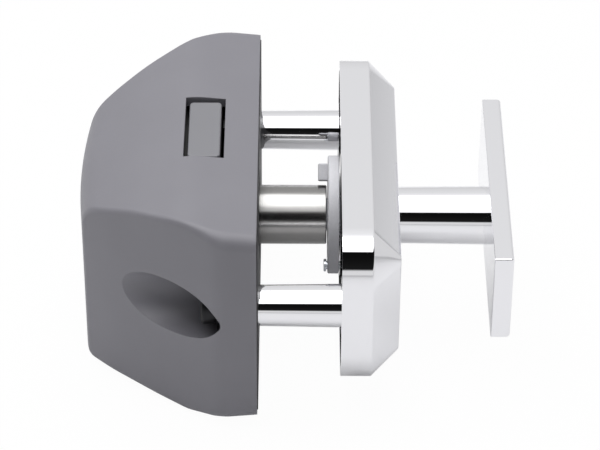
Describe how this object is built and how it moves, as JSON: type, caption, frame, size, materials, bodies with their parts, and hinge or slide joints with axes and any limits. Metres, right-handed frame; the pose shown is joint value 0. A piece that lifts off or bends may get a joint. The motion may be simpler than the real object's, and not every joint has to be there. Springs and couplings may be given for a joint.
{
  "type": "cupboard lock",
  "caption": "Through-door cupboard lock: a chrome T handle on a bevelled escutcheon, and a grey inside case with a lifting bolt.",
  "frame": {"origin": "on the spindle axis, at the door's outer face, which the escutcheon's back rests on", "axes": "+X out of the cupboard along the spindle, towards the handle; Y along the lock; +Z the way the bolt comes out"},
  "size_m": [0.1, 0.0824, 0.0561],
  "materials": {
    "case_plastic": "fine matt mould texture",
    "base_plastic": "black, smooth matt",
    "bolt_plastic": "smooth matt",
    "bearing_plastic": "smooth black acetal",
    "chrome": "polished chrome plate on zinc",
    "satin_steel": "turned",
    "satin_zinc": "as cast, tumbled",
    "zinc_plate": "bright zinc plate",
    "black_oxide": "black oxide on steel",
    "spring_steel": "oiled spring steel"
  },
  "bodies": {
    "lock_body": {"case": "case_plastic", "base_plate": "base_plastic", "chassis": "bearing_plastic", "hub_bush": "bearing_plastic", "stem_bush": "bearing_plastic", "escutcheon": "chrome", "bearing_plate": "satin_zinc", "detent_screw": "zinc_plate", "wave_washer": "spring_steel", "detent_spring": "spring_steel", "base_screw_1": "zinc_plate", "base_screw_2": "zinc_plate", "base_screw_3": "zinc_plate", "base_screw_4": "zinc_plate", "chassis_screw_1": "zinc_plate", "chassis_screw_2": "zinc_plate", "chassis_screw_3": "zinc_plate", "chassis_screw_4": "zinc_plate", "bearing_screw_1": "zinc_plate", "bearing_screw_2": "zinc_plate", "fixing_screw_1": "black_oxide", "fixing_screw_2": "black_oxide", "fixing_washer_1": "black_oxide", "fixing_washer_2": "black_oxide"},
    "handle": {"handle": "chrome", "spindle": "zinc_plate", "spindle_pin": "spring_steel", "handle_circlip": "spring_steel", "spindle_sleeve": "satin_steel", "crank_hub": "satin_zinc", "crank_pin": "satin_steel"},
    "bolt": {"bolt": "bolt_plastic"}
  },
  "joints": [
    {"name": "handle_turn", "type": "hinge", "parent": "lock_body", "child": "handle", "pos_m": [0, 0, 0], "axis": [1, 0, 0], "range_deg": [0, 90], "deforming": ["detent_spring"]},
    {"name": "bolt_slide", "type": "slide", "parent": "lock_body", "child": "bolt", "axis": [0, 0, 1], "range_m": [0, 0.01]}
  ],
  "couplings": [
    {"joint": "bolt_slide", "follows": "handle_turn", "m_per_rad": 0.0063661}
  ]
}
